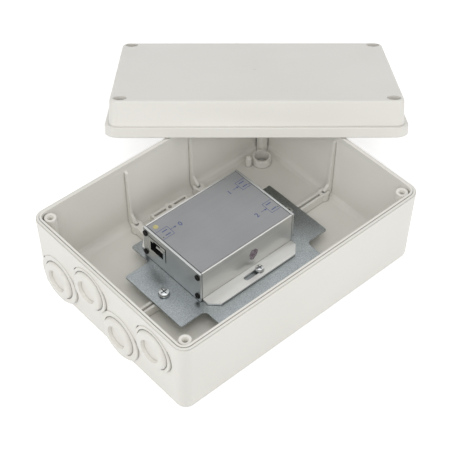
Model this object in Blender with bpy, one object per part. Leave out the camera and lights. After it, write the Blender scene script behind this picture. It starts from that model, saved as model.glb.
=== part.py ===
"""Junction box with a network power extender on its mounting plate, lid off and leaning behind.

The base is a moulded light grey box with knock-outs in one short wall. Rails moulded on its floor
carry a galvanised plate, and the plate carries an extruded aluminium case with one socket at the
left end and two at the right end. The lid rests with its rear edge on the ground and its front
skirt on the rims of the base, over the back corner.

Units are metres. +Z is up, X runs along the long side and Y along the short side. The origin is the
middle of the underside of the base.
"""

import math

import bmesh
import bpy
from mathutils import Matrix, Vector

# Clearances
seat_gap = 0.0003
sink = 0.0005

# Base: outside
base_length = 0.190
base_width = 0.140
base_height = 0.055
base_corner_radius = 0.008
base_draft = 0.0015
foot_radius = 0.0015

# Base: rim, from the outside in
rim_width = 0.0036
rim_shoulder_width = 0.0006
rim_shoulder_drop = 0.0011
rim_ledge_drop = 0.0005
rim_tongue_width = 0.0013
rim_groove_width = 0.0003
rim_groove_depth = 0.0004

# Base: inside
inner_draft = 0.0010
floor_thickness = 0.003
floor_fillet = 0.005

# Knock-outs in the wall at -X
knockout_low_radius = 0.0169
knockout_high_radius = 0.0153
knockout_step = 0.0012
knockout_ring_radius = 0.0128
knockout_ring_step = 0.0022
knockout_ring_rounding = 0.0012
knockout_side_slope = 0.2
knockout_groove_width = 0.0005
knockout_groove_depth = 0.0006
knockout_root = 0.0009
knockout_dish_radius = 0.0076
knockout_dish_floor_radius = 0.0071
knockout_dish_depth = 0.0022
knockout_pocket_radius = 0.0105
knockout_pocket_depth = 0.0024
knockout_low_z = 0.0175
knockout_high_z = 0.0355
knockout_first_y = 0.0462
knockout_pair_pitch = 0.058
knockout_pair_shift = 0.032
pip_radius = 0.0017
pip_top_radius = 0.0013
pip_height = 0.0008
pip_shift = 0.0148
pip_z = 0.0135

# Corner posts that take the lid screws
post_inset_x = 0.0088
post_inset_y = 0.0082
post_radius = 0.0037
post_drop = 0.0016
post_hole_radius = 0.0015
post_hole_depth = 0.024
post_mouth_radius = 0.0023
post_mouth_depth = 0.0016
post_web_width = 0.0018
post_web_drop = 0.005

# Rails on the floor, their bosses, and the ribs that climb the walls from them
rail_width = 0.005
rail_height = 0.0061
rail_slot_width = 0.0017
rail_slot_depth = 0.0045
rail_end_x = 0.044
cross_rail_x = 0.026
cross_rail_end_y = 0.048
boss_radius = 0.0036
boss_hole_radius = 0.0014
boss_hole_depth = 0.005
end_boss_inset = 0.011
cross_boss_inset = 0.012
end_slot_start = 0.059
bar_y = 0.056
bar_half_length = 0.0145
bar_slot_start = 0.0034
bar_slot_end = 0.0130
rib_width = 0.0020
rib_reach = 0.0030
rib_top_reach = 0.0016
rib_top_drop = 0.0045

# Round wells and pins for fixing the box to a wall
well_x = 0.077
well_y = 0.052
well_radius = 0.00625
well_bore_radius = 0.0050
well_height = 0.006
well_floor_left = 0.0014
pin_shift_x = -0.0085
pin_shift_y = 0.0038
pin_radius = 0.0021
pin_height = 0.008
pin_tip = 0.0012
pin_tip_radius = 0.0009

# Mounting plate
plate_thickness = 0.0015
plate_length = 0.1206
plate_tab_width = 0.053
plate_wing_length = 0.0846
plate_wing_shift = 0.0007
plate_width = 0.087
plate_inner_radius = 0.0030
plate_corner_radius = 0.0008
plate_screw_x = 0.0515
plate_hole_radius = 0.0023

# Extruded case and its flanges
case_x = -0.0010
case_y = 0.0070
case_length = 0.0766
case_width = 0.0532
case_height = 0.0240
case_wall = 0.0015
case_lip = 0.0010
case_recess = 0.0006
flange_width = 0.0103
flange_thickness = 0.0015
flange_chamfer = 0.0058
flange_slot_length = 0.0145
flange_slot_width = 0.0036
flange_screw_shift = 0.0052
screw_port_inset = 0.0023
screw_port_rise = 0.0039
screw_port_radius = 0.0014
screw_block = 0.0025
board_ledge_height = 0.0051
board_ledge_thickness = 0.0010
board_ledge_reach = 0.0018
board_slot_height = 0.0023

# End plates
end_plate_thickness = 0.0015
end_screw_hole_radius = 0.0015

# Network sockets
socket_width = 0.0160
socket_height = 0.0116
socket_depth = 0.0185
socket_sheet = 0.0004
socket_mouth_width = 0.0119
socket_mouth_height = 0.0077
socket_mouth_bottom = 0.0015
socket_mouth_depth = 0.0135
socket_latch_width = 0.0062
socket_latch_height = 0.0016
socket_latch_depth = 0.0095
socket_stand_out = 0.0004
input_socket_y = 0.0135
output_socket_y = 0.0105
contact_count = 8
contact_pitch = 0.00102
contact_width = 0.00045
contact_start = 0.0030
contact_length = 0.0078
contact_rise = 0.0018
contact_carrier_depth = 0.0012

# Board and what is soldered to it
board_thickness = 0.0016
board_end_gap = 0.0006
component_gap = 0.0015
component_chamfer = 0.0004
magnetics_count = 3
magnetics_length = 0.0127
magnetics_width = 0.0095
magnetics_height = 0.0060
magnetics_pitch = 0.0130
inductor_side = 0.0100
inductor_height = 0.0055
inductor_end_gap = 0.0030
capacitor_radius = 0.0040
capacitor_height = 0.0095
capacitor_y = 0.0130
controller_side = 0.0070
controller_height = 0.0012
regulator_length = 0.0050
regulator_width = 0.0040
regulator_height = 0.0015
regulator_pitch = 0.0065
inductor_chamfer = 0.0012
capacitor_base_height = 0.0014
capacitor_crimp_depth = 0.0004

# Label film
label_thickness = 0.0003
label_edge_gap = 0.0002
label_corner_radius = 0.0008

# Screws
plate_screw_head_radius = 0.0036
plate_screw_head_height = 0.0024
plate_screw_shank_radius = 0.0018
plate_screw_length = 0.0075
flange_screw_head_radius = 0.0028
flange_screw_head_height = 0.0020
flange_screw_shank_radius = 0.0013
flange_screw_length = 0.0070
end_screw_head_radius = 0.0020
end_screw_head_height = 0.0007
end_screw_shank_radius = 0.0010
end_screw_length = 0.0080
screw_dome_share = 0.60
screw_crown_share = 0.55
screw_point_share = 0.60
cross_recess_share = 0.62
cross_recess_width = 0.0007
cross_recess_depth_share = 0.55

# Lid
lid_overhang = 0.0013
lid_height = 0.0234
lid_flange_height = 0.0066
lid_flange_step = 0.0028
lid_wall_draft = 0.0006
lid_wall = 0.0026
lid_top_thickness = 0.0023
lid_edge_radius = 0.0015
lid_flange_radius = 0.0005
lid_skirt_thickness = 0.0010
lid_skirt_depth = 0.0036
lid_channel_start = 0.0036
lid_channel_width = 0.0020
lid_channel_depth = 0.0026
lid_lip_width = 0.0012
lid_lip_depth = 0.0039
lid_lip_top = 0.0085
lid_well_wall = 0.0014
lid_well_radius = 0.0045
lid_well_floor = 0.0045
lid_well_floor_thickness = 0.0024
lid_screw_hole_radius = 0.0024

# Lid screws, held captive in the wells
lid_screw_head_radius = 0.0038
lid_screw_head_height = 0.0050
lid_screw_shank_radius = 0.0019
lid_screw_tip = -0.0015
lid_screw_chamfer = 0.0006
lid_screw_slot_width = 0.0012
lid_screw_slot_depth = 0.0016

# Gasket in the lid's channel
gasket_side_gap = 0.0003
gasket_height = 0.0015

# How the lid leans: where its front skirt crosses the rims, from the back corner, and how far its
# middle lies along the skirt from halfway between the two crossings
lid_cross_left = 0.0875
lid_cross_right = 0.0770
lid_slide = 0.0009

# Facets
corner_steps = 6
fillet_steps = 3
round_steps = 28
hole_steps = 14
screw_steps = 18
small_screw_steps = 12
dome_steps = 2
slot_steps = 6
least_corner_radius = 0.0008
smooth_angle = math.radians(32)

# Places that follow from the sizes
base_half_x = base_length / 2
base_half_y = base_width / 2
rail_top = floor_thickness + rail_height
plate_bottom = rail_top + seat_gap
plate_top = plate_bottom + plate_thickness
case_bottom = plate_top + seat_gap
case_top = case_bottom + case_height
case_half_width = case_width / 2
tube_length = case_length - 2 * (end_plate_thickness + seat_gap)
post_x = base_half_x - post_inset_x
post_y = base_half_y - post_inset_y
screw_port_y = case_half_width - screw_port_inset
block_edge = screw_port_y - screw_block
board_bottom = case_bottom + board_ledge_height + board_ledge_thickness + seat_gap
board_top = board_bottom + board_thickness
board_half_width = block_edge - seat_gap
part_bottom = board_top + seat_gap
end_boss_x = base_half_x - end_boss_inset
socket_back = case_length / 2 + socket_stand_out - socket_depth
inductor_x = end_plate_thickness + inductor_end_gap + (inductor_side - case_length) / 2
inductor_y = component_gap + inductor_side / 2 - board_half_width
regulator_y = input_socket_y - component_gap - (socket_width + regulator_width) / 2
magnetics_x = magnetics_length / 2 + component_gap - socket_back
magnetics_end = magnetics_x + magnetics_length / 2
controller_x = magnetics_end + component_gap + controller_side / 2
capacitor_x = magnetics_end + component_gap + capacitor_radius
lid_half_x = base_half_x + lid_overhang
lid_half_y = base_half_y + lid_overhang
lid_radius = base_corner_radius + lid_overhang


def clear_scene():
    """Remove every object that the scene starts with."""
    for item in list(bpy.data.objects):
        bpy.data.objects.remove(item, do_unlink=True)


def make_material(name, colour, roughness, metallic=0.0):
    """Return a Principled material."""
    made = bpy.data.materials.new(name)
    made.use_nodes = True
    shader = made.node_tree.nodes["Principled BSDF"]
    shader.inputs["Base Color"].default_value = (*colour, 1.0)
    shader.inputs["Roughness"].default_value = roughness
    shader.inputs["Metallic"].default_value = metallic
    return made


def make_object(name, mesh_data, look, parent=None):
    """Turn a bmesh into a named object with one material and smooth round faces."""
    bmesh.ops.recalc_face_normals(mesh_data, faces=mesh_data.faces[:])
    mesh = bpy.data.meshes.new(name)
    mesh_data.to_mesh(mesh)
    mesh_data.free()
    mesh.shade_smooth()
    mesh.set_sharp_from_angle(angle=smooth_angle)
    made = bpy.data.objects.new(name, mesh)
    bpy.context.scene.collection.objects.link(made)
    if look is not None:
        made.data.materials.append(look)
    made.parent = parent
    return made


def rounded_rectangle(half_x, half_y, radius, steps=corner_steps):
    """Points of a rectangle with round corners, counter-clockwise from the right."""
    points = []
    for turn, (side_x, side_y) in enumerate(((1, -1), (1, 1), (-1, 1), (-1, -1))):
        centre_x = side_x * (half_x - radius)
        centre_y = side_y * (half_y - radius)
        for step in range(steps + 1):
            angle = math.pi / 2 * (turn - 1 + step / steps)
            points.append((centre_x + radius * math.cos(angle), centre_y + radius * math.sin(angle)))
    return points


def circle(radius, steps, centre=(0.0, 0.0)):
    """Points of a circle, counter-clockwise."""
    points = []
    for step in range(steps):
        angle = 2 * math.pi * step / steps
        points.append((centre[0] + radius * math.cos(angle), centre[1] + radius * math.sin(angle)))
    return points


def rectangle(half_x, half_y, centre=(0.0, 0.0)):
    """Points of a plain rectangle, counter-clockwise."""
    corners = ((-1, -1), (1, -1), (1, 1), (-1, 1))
    return [(centre[0] + side_x * half_x, centre[1] + side_y * half_y) for side_x, side_y in corners]


def stadium(half_length, radius, centre, steps=slot_steps):
    """Points of a slot with round ends, along X."""
    points = []
    for turn, side in enumerate((1, -1)):
        for step in range(steps + 1):
            angle = math.pi * (turn - 0.5 + step / steps)
            points.append((centre[0] + side * (half_length - radius) + radius * math.cos(angle),
                           centre[1] + radius * math.sin(angle)))
    return points


def loft(rings, closed=False):
    """Skin a list of rings of points; the ends are capped, or joined to each other if closed."""
    shape = bmesh.new()
    loops = []
    for ring in rings:
        loops.append([shape.verts.new(point) for point in ring])
    pairs = list(zip(loops, loops[1:]))
    if closed:
        pairs.append((loops[-1], loops[0]))
    for lower, upper in pairs:
        count = len(lower)
        for index in range(count):
            after = (index + 1) % count
            shape.faces.new((lower[index], lower[after], upper[after], upper[index]))
    if not closed:
        shape.faces.new(loops[0][::-1])
        shape.faces.new(loops[-1])
    return shape


def prism(outline, depth, holes=()):
    """Extrude a flat outline with holes from Z = 0 up to Z = depth."""
    shape = bmesh.new()
    edges = []
    for points in (outline, *holes):
        loop = [shape.verts.new((x, y, 0.0)) for x, y in points]
        for index, vertex in enumerate(loop):
            edges.append(shape.edges.new((vertex, loop[(index + 1) % len(loop)])))
    if holes:
        bmesh.ops.triangle_fill(shape, use_beauty=True, edges=edges)
    else:
        bmesh.ops.contextual_create(shape, geom=edges)
    raised = bmesh.ops.extrude_face_region(shape, geom=shape.faces[:])
    moved = [item for item in raised["geom"] if isinstance(item, bmesh.types.BMVert)]
    bmesh.ops.translate(shape, verts=moved, vec=(0.0, 0.0, depth))
    return shape


def block(low, high):
    """A box between two corners."""
    shape = bmesh.new()
    bmesh.ops.create_cube(shape, size=1.0)
    size = [top - bottom for bottom, top in zip(low, high)]
    middle = [(top + bottom) / 2 for bottom, top in zip(low, high)]
    bmesh.ops.scale(shape, verts=shape.verts[:], vec=size)
    bmesh.ops.translate(shape, verts=shape.verts[:], vec=middle)
    return shape


def rod(radius, bottom, top, centre=(0.0, 0.0), steps=hole_steps, top_radius=None):
    """An upright cylinder or cone."""
    shape = bmesh.new()
    end_radius = radius if top_radius is None else top_radius
    bmesh.ops.create_cone(shape, cap_ends=True, segments=steps, radius1=radius, radius2=end_radius,
                          depth=top - bottom)
    bmesh.ops.translate(shape, verts=shape.verts[:], vec=(centre[0], centre[1], (bottom + top) / 2))
    return shape


def turned(profile, steps):
    """Turn a profile of (radius, height) points, from axis to axis, about Z."""
    shape = bmesh.new()
    line = [shape.verts.new((radius, 0.0, height)) for radius, height in profile]
    edges = [shape.edges.new(pair) for pair in zip(line, line[1:])]
    bmesh.ops.spin(shape, geom=line + edges, axis=(0, 0, 1), cent=(0, 0, 0), steps=steps,
                   angle=2 * math.pi, use_merge=False, use_duplicate=False)
    bmesh.ops.remove_doubles(shape, verts=shape.verts[:], dist=0.000001)
    return shape


def moved_by(shape, matrix):
    """Move a bmesh by a matrix and hand it back."""
    bmesh.ops.transform(shape, matrix=matrix, verts=shape.verts[:])
    return shape


def arc(centre, radius, start, turn, steps=fillet_steps):
    """Points of an arc; it starts at an angle and runs through a turn, both in quarter turns."""
    points = []
    for step in range(steps + 1):
        angle = math.pi / 2 * (start + turn * step / steps)
        points.append((centre[0] + radius * math.cos(angle), centre[1] + radius * math.sin(angle)))
    return points


def round_groove(radius, width, low, high):
    """A flat ring about Z, the cutter of a groove that runs round a step."""
    section = [(radius, low), (radius + width, low), (radius + width, high), (radius, high)]
    rings = []
    for reach, height in section:
        rings.append([(x, y, height) for x, y in circle(reach, round_steps)])
    return loft(rings, closed=True)


def combine(target, shapes, operation):
    """Add shapes to an object, or cut them from it, with one Boolean whose result is applied."""
    tools = bpy.data.collections.new("tools")
    for index, shape in enumerate(shapes):
        tool = make_object(f"tool_{index}", shape, None)
        tools.objects.link(tool)
    change = target.modifiers.new("combine", "BOOLEAN")
    change.operation = operation
    change.operand_type = "COLLECTION"
    change.collection = tools
    change.solver = "EXACT"
    bpy.context.view_layer.update()
    seen = target.evaluated_get(bpy.context.evaluated_depsgraph_get())
    result = bpy.data.meshes.new_from_object(seen)
    target.modifiers.clear()
    target.data = result
    for tool in list(tools.objects):
        bpy.data.objects.remove(tool, do_unlink=True)
    bpy.data.collections.remove(tools)
    result.shade_smooth()
    result.set_sharp_from_angle(angle=smooth_angle)
    return target


def base_ring(inset, height):
    """One ring of the base, a distance in from the rim's outside."""
    radius = max(base_corner_radius - inset, least_corner_radius)
    ring = rounded_rectangle(base_half_x - inset, base_half_y - inset, radius)
    return [(x, y, height) for x, y in ring]


def outer_inset(height):
    """How far the drafted outer wall stands in from the rim at a height."""
    return base_draft * (1 - height / base_height)


def inner_inset(height):
    """How far the inner wall stands in from the rim's outside at a height."""
    return rim_width + inner_draft * (1 - height / base_height)


def base_shell():
    """The box without its ribs: outside from the foot to the rim, then down the inside."""
    rings = []
    for step in range(fillet_steps + 1):
        angle = math.pi / 2 * step / fillet_steps
        inset = outer_inset(foot_radius) + foot_radius * (1 - math.sin(angle))
        rings.append((inset, foot_radius * (1 - math.cos(angle))))
    shoulder = base_height - rim_shoulder_drop
    ledge = base_height - rim_ledge_drop
    groove_outer = rim_width - rim_tongue_width - rim_groove_width
    groove_inner = rim_width - rim_tongue_width
    rings += [
        (outer_inset(shoulder), shoulder),
        (rim_shoulder_width, shoulder),
        (rim_shoulder_width, ledge),
        (groove_outer, ledge),
        (groove_outer, ledge - rim_groove_depth),
        (groove_inner, ledge - rim_groove_depth),
        (groove_inner, base_height),
        (inner_inset(base_height), base_height),
    ]
    fillet_top = floor_thickness + floor_fillet
    for step in range(fillet_steps + 1):
        angle = math.pi / 2 * step / fillet_steps
        rings.append((inner_inset(fillet_top) + floor_fillet * (1 - math.cos(angle)),
                      fillet_top - floor_fillet * math.sin(angle)))
    return loft([base_ring(inset, height) for inset, height in rings])


def knockout_places():
    """Centre (y, z) and outer radius of the four knock-outs, low and high by turns."""
    places = []
    for pair in range(2):
        low_y = knockout_first_y - pair * knockout_pair_pitch
        high_y = low_y - knockout_pair_shift
        places.append((low_y, knockout_low_z, knockout_low_radius))
        places.append((high_y, knockout_high_z, knockout_high_radius))
    return places


def wall_matrix(y, z):
    """A frame on the outside of the -X wall: its Z points out of the wall, square to its draft."""
    lean = math.atan(base_draft / base_height)
    place = Vector((-base_half_x + outer_inset(z), y, z))
    return Matrix.Translation(place) @ Matrix.Rotation(-math.pi / 2 + lean, 4, "Y")


def knockout_grooves():
    """The break line that runs round the foot of each knock-out, cut before its disc is added."""
    grooves = []
    for y, z, radius in knockout_places():
        groove = round_groove(radius - sink, knockout_groove_width + sink, -knockout_groove_depth, sink)
        grooves.append(moved_by(groove, wall_matrix(y, z)))
    return grooves


def knockout_disc(radius):
    """A knock-out: outer step, break line, ring with a round shoulder, and the dish in its middle."""
    crest = knockout_step + knockout_ring_step
    side = knockout_side_slope * knockout_ring_step
    shoulder = arc((knockout_ring_radius - side - knockout_ring_rounding, crest - knockout_ring_rounding),
                   knockout_ring_rounding, 0, 1)
    step_top = radius - knockout_side_slope * knockout_step
    groove_floor = knockout_step - knockout_groove_depth
    groove_outside = knockout_ring_radius + knockout_groove_width
    dish_floor = crest - knockout_dish_depth
    profile = [(0.0, -knockout_root), (radius, -knockout_root), (radius, 0.0), (step_top, knockout_step),
               (groove_outside, knockout_step), (groove_outside, groove_floor),
               (knockout_ring_radius, groove_floor), (knockout_ring_radius, knockout_step), *shoulder,
               (knockout_dish_radius, crest), (knockout_dish_floor_radius, dish_floor), (0.0, dish_floor)]
    return turned(profile, round_steps)


def knockout_shapes():
    """What the knock-outs add to the wall, what they cut from its inside, and their small pips."""
    added = []
    cut = []
    for y, z, radius in knockout_places():
        frame = wall_matrix(y, z)
        inner_face = outer_inset(z) - inner_inset(z)
        added.append(moved_by(knockout_disc(radius), frame))
        cut.append(moved_by(rod(knockout_pocket_radius, inner_face - 2 * sink,
                                inner_face + knockout_pocket_depth, steps=round_steps), frame))
    for pair in range(2):
        y = knockout_first_y - pair * knockout_pair_pitch - pip_shift
        added.append(moved_by(rod(pip_radius, -sink, pip_height, top_radius=pip_top_radius),
                              wall_matrix(y, pip_z)))
    return added, cut


def post_shapes():
    """The corner posts for the lid screws, with their webs, and their holes."""
    added = []
    cut = []
    post_top = base_height - post_drop
    web_top = base_height - post_web_drop
    half_web = post_web_width / 2
    for side_x in (-1, 1):
        for side_y in (-1, 1):
            centre = (side_x * post_x, side_y * post_y)
            added.append(rod(post_radius, floor_thickness - sink, post_top, centre, screw_steps))
            wall_x = side_x * (base_half_x - inner_inset(web_top) + sink)
            wall_y = side_y * (base_half_y - inner_inset(web_top) + sink)
            added.append(block((min(centre[0], wall_x), centre[1] - half_web, floor_thickness - sink),
                               (max(centre[0], wall_x), centre[1] + half_web, web_top)))
            added.append(block((centre[0] - half_web, min(centre[1], wall_y), floor_thickness - sink),
                               (centre[0] + half_web, max(centre[1], wall_y), web_top)))
            cut.append(rod(post_hole_radius, post_top - post_hole_depth, post_top + sink, centre))
            cut.append(rod(post_hole_radius, post_top - post_mouth_depth, post_top + sink, centre,
                           top_radius=post_mouth_radius))
    return added, cut


def rib(span, reach_from):
    """A wall rib in the plane X = 0 that climbs a wall at +Y; reach_from is the wall's inset half."""
    top = base_height - rib_top_drop
    foot = rail_top
    wall_at = lambda height: reach_from - inner_inset(height)
    outline = [
        (wall_at(foot) + sink, floor_thickness - sink),
        (wall_at(foot) - span, floor_thickness - sink),
        (wall_at(foot) - span, foot - sink / 2),
        (wall_at(foot) - rib_reach, foot + span - rib_reach),
        (wall_at(top) - rib_top_reach, top - rib_top_reach),
        (wall_at(top) + sink, top),
    ]
    shape = prism(outline, rib_width)
    turn = Matrix(((0, 0, 1, -rib_width / 2), (1, 0, 0, 0), (0, 1, 0, 0), (0, 0, 0, 1)))
    return moved_by(shape, turn)


def rail_shapes():
    """Rails, bosses and ribs on the floor and walls, and the slots and holes in them."""
    added = []
    cut = []
    half = rail_width / 2
    low = floor_thickness - sink
    hole_low = rail_top - boss_hole_depth
    slot_low = rail_top - rail_slot_depth
    half_slot = rail_slot_width / 2
    for side in (-1, 1):
        turn = Matrix.Rotation(-side * math.pi / 2, 4, "Z")
        boss_x = side * end_boss_x
        screw_x = side * plate_screw_x
        ends = sorted((boss_x, side * rail_end_x))
        added.append(block((ends[0], -half, low), (ends[1], half, rail_top)))
        for x in (boss_x, screw_x):
            added.append(rod(boss_radius, low, rail_top, (x, 0.0)))
        cut.append(rod(boss_hole_radius, hole_low, rail_top + sink, (boss_x, 0.0)))
        cut.append(rod(plate_screw_shank_radius + seat_gap, floor_thickness, rail_top + sink,
                       (screw_x, 0.0)))
        slot = sorted((side * end_slot_start, side * (end_boss_x - boss_radius)))
        cut.append(block((slot[0], -half_slot, slot_low), (slot[1], half_slot, rail_top + sink)))
        added.append(moved_by(rib(end_boss_inset - rim_width, base_half_x), turn))
        for x in (-cross_rail_x, cross_rail_x):
            boss_y = side * (base_half_y - cross_boss_inset)
            ends = sorted((boss_y, side * cross_rail_end_y))
            added.append(block((x - half, ends[0], low), (x + half, ends[1], rail_top)))
            added.append(rod(boss_radius, low, rail_top, (x, boss_y)))
            cut.append(rod(boss_hole_radius, hole_low, rail_top + sink, (x, boss_y)))
            climb = rib(cross_boss_inset - rim_width, base_half_y)
            if side < 0:
                moved_by(climb, Matrix.Rotation(math.pi, 4, "Z"))
            added.append(moved_by(climb, Matrix.Translation((x, 0.0, 0.0))))
        bar_at = side * bar_y
        added.append(block((-bar_half_length, bar_at - half, low),
                           (bar_half_length, bar_at + half, rail_top)))
        added.append(rod(boss_radius, low, rail_top, (0.0, bar_at)))
        cut.append(rod(boss_hole_radius, hole_low, rail_top + sink, (0.0, bar_at)))
        for end in (-1, 1):
            slot = sorted((end * bar_slot_start, end * bar_slot_end))
            cut.append(block((slot[0], bar_at - half_slot, slot_low),
                             (slot[1], bar_at + half_slot, rail_top + sink)))
    return added, cut


def well_shapes():
    """The two wall-fixing wells with the pin beside each, on one diagonal."""
    added = []
    cut = []
    low = floor_thickness - sink
    for side in (-1, 1):
        centre = (side * well_x, side * well_y)
        pin = (side * (well_x + pin_shift_x), side * (well_y + pin_shift_y))
        shaft_top = floor_thickness + pin_height - pin_tip
        added.append(rod(well_radius, low, floor_thickness + well_height, centre, round_steps))
        added.append(turned([(0.0, low), (pin_radius, low), (pin_radius, shaft_top),
                             (pin_tip_radius, shaft_top + pin_tip), (0.0, shaft_top + pin_tip)],
                            hole_steps))
        moved_by(added[-1], Matrix.Translation((pin[0], pin[1], 0.0)))
        cut.append(rod(well_bore_radius, well_floor_left, floor_thickness + well_height + sink, centre,
                       round_steps))
    return added, cut


def make_base(look):
    """The moulded base, one piece."""
    base = make_object("enclosure_base", base_shell(), look)
    combine(base, knockout_grooves(), "DIFFERENCE")
    added = []
    cut = []
    for more, less in (knockout_shapes(), post_shapes(), rail_shapes(), well_shapes()):
        added += more
        cut += less
    combine(base, added, "UNION")
    combine(base, cut, "DIFFERENCE")
    return base


def plate_quarter(side):
    """One quarter of the plate's outline, from its tab to its wing, with all corners round."""
    tab_x = plate_length / 2
    tab_y = plate_tab_width / 2
    wing_x = plate_wing_length / 2 + side * plate_wing_shift
    wing_y = plate_width / 2
    outer = plate_corner_radius
    inner = plate_inner_radius
    return [*arc((tab_x - outer, tab_y - outer), outer, 0, 1),
            *arc((wing_x + inner, tab_y + inner), inner, -1, -1),
            *arc((wing_x - outer, wing_y - outer), outer, 0, 1)]


def plate_outline():
    """Outline of the plate: a tab at each end along X and a wing at each side along Y."""
    right = plate_quarter(1)
    left = plate_quarter(-1)
    return [*right, *[(-x, y) for x, y in left[::-1]], *[(-x, -y) for x, y in left],
            *[(x, -y) for x, y in right[::-1]]]


def flange_screw_places():
    """Where the two flange screws stand, in X and Y."""
    reach = case_half_width + flange_width / 2
    return [(case_x + flange_screw_shift, case_y + side * reach) for side in (-1, 1)]


def make_plate(look):
    """The galvanised plate on the rails."""
    holes = [circle(plate_hole_radius, hole_steps, (side * plate_screw_x, 0.0)) for side in (-1, 1)]
    holes += [circle(flange_screw_shank_radius + seat_gap, hole_steps, place)
              for place in flange_screw_places()]
    shape = prism(plate_outline(), plate_thickness, holes)
    moved_by(shape, Matrix.Translation((0.0, 0.0, plate_bottom)))
    return make_object("mounting_plate", shape, look)


def pan_screw(head_radius, head_height, shank_radius, length, steps):
    """A pan-head screw about Z, head up, seat at Z = 0; the thread is left plain."""
    dome_height = head_height * screw_dome_share
    dome = []
    for step in range(dome_steps):
        angle = math.pi / 2 * step / dome_steps
        dome.append((head_radius - dome_height * (1 - math.cos(angle)),
                     head_height - dome_height * (1 - math.sin(angle))))
    profile = [(0.0, -length), (shank_radius * screw_point_share, -length),
               (shank_radius, -length + shank_radius), (shank_radius, 0.0), (head_radius, 0.0), *dome,
               (head_radius * screw_crown_share, head_height), (0.0, head_height)]
    return turned(profile, steps)


def cross_recess(head_radius, head_height):
    """The cross-shaped recess of a screw head, as a cutter."""
    reach = head_radius * cross_recess_share
    low = head_height * (1 - cross_recess_depth_share)
    half = cross_recess_width / 2
    arms = [(reach, half), (half, half), (half, reach)]
    outline = list(arms)
    outline += [(-x, y) for x, y in arms[::-1]]
    outline += [(-x, -y) for x, y in arms]
    outline += [(x, -y) for x, y in arms[::-1]]
    shape = prism(outline, head_height)
    return moved_by(shape, Matrix.Translation((0.0, 0.0, low)))


def make_screw(name, look, sizes, frame, steps=screw_steps):
    """One pan-head screw with a cross recess, seat at the frame's origin and head along its Z."""
    head_radius, head_height, shank_radius, length = sizes
    screw = make_object(name, pan_screw(head_radius, head_height, shank_radius, length, steps), look)
    combine(screw, [cross_recess(head_radius, head_height)], "DIFFERENCE")
    screw.matrix_world = frame
    return screw


def case_section():
    """Outline and cavity of the extrusion, in Y and Z from the middle of its underside."""
    half = case_half_width
    inner = half - case_wall
    tip = half + flange_width
    recess_floor = case_height - case_recess
    ceiling = recess_floor - case_wall
    right = [
        (tip, 0.0), (tip, flange_thickness), (half, flange_thickness), (half, case_height),
        (half - case_lip, case_height), (half - case_lip, recess_floor),
    ]
    outline = right + [(-y, z) for y, z in right[::-1]]
    ledge_top = board_ledge_height + board_ledge_thickness
    slot_top = ledge_top + board_slot_height
    upper_block = case_height - screw_port_rise - screw_block
    right = [
        (block_edge, case_wall), (block_edge, board_ledge_height),
        (block_edge - board_ledge_reach, board_ledge_height),
        (block_edge - board_ledge_reach, ledge_top), (block_edge, ledge_top),
        (block_edge, slot_top), (inner, slot_top), (inner, upper_block),
        (block_edge, upper_block), (block_edge, ceiling),
    ]
    cavity = right + [(-y, z) for y, z in right[::-1]]
    return outline, cavity


def screw_ports():
    """The four screw ports of the case, in Y and Z from the middle of its underside."""
    return [(side * screw_port_y, height) for side in (-1, 1)
            for height in (screw_port_rise, case_height - screw_port_rise)]


def along_x(start):
    """A frame that lays a prism drawn in (Y, Z) along +X from a starting X."""
    return Matrix(((0, 0, 1, start), (1, 0, 0, case_y), (0, 1, 0, case_bottom), (0, 0, 0, 1)))


def make_case(look):
    """The extruded case, with mounting flanges, chamfered flange ends and a slot in each flange."""
    outline, cavity = case_section()
    holes = [cavity] + [circle(screw_port_radius, hole_steps // 2, place) for place in screw_ports()]
    start = case_x - tube_length / 2
    case = make_object("case_profile", moved_by(prism(outline, tube_length, holes), along_x(start)), look)
    tools = []
    tip = case_half_width + flange_width + sink
    low = case_bottom - sink
    depth = flange_thickness + 2 * sink
    cut = flange_chamfer + 2 * sink
    for side_y in (-1, 1):
        for side_x in (-1, 1):
            corner = (case_x + side_x * (tube_length / 2 + sink), case_y + side_y * tip)
            triangle = [corner, (corner[0] - side_x * cut, corner[1]),
                        (corner[0], corner[1] - side_y * cut)]
            tools.append(moved_by(prism(triangle, depth), Matrix.Translation((0.0, 0.0, low))))
        slot = stadium(flange_slot_length / 2, flange_slot_width / 2,
                       (case_x, case_y + side_y * (case_half_width + flange_width / 2)))
        tools.append(moved_by(prism(slot, depth), Matrix.Translation((0.0, 0.0, low))))
    combine(case, tools, "DIFFERENCE")
    return case


def socket_places(side):
    """Y of each socket at one end of the case, from the case's middle."""
    if side < 0:
        return [input_socket_y]
    return [-output_socket_y, output_socket_y]


def make_end_plate(name, side, look):
    """A flat end plate with an opening for each socket and four screw holes."""
    low = part_bottom - case_bottom - seat_gap
    high = low + socket_height + 2 * seat_gap
    half = socket_width / 2 + seat_gap
    holes = [rectangle(half, (high - low) / 2, (y, (high + low) / 2)) for y in socket_places(side)]
    holes += [circle(end_screw_hole_radius, hole_steps // 2, place) for place in screw_ports()]
    outline = rectangle(case_half_width, case_height / 2, (0.0, case_height / 2))
    outside = case_x + side * case_length / 2
    start = outside if side < 0 else outside - end_plate_thickness
    return make_object(name, moved_by(prism(outline, end_plate_thickness, holes), along_x(start)), look)


def socket_frame(side, y):
    """A frame at a socket's mouth, on the board: +Y of the frame goes into the case, Z is up."""
    mouth = case_x + side * (case_length / 2 + socket_stand_out)
    turn = Matrix.Rotation(side * math.pi / 2, 4, "Z")
    return Matrix.Translation((mouth, case_y + y, part_bottom)) @ turn


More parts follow.
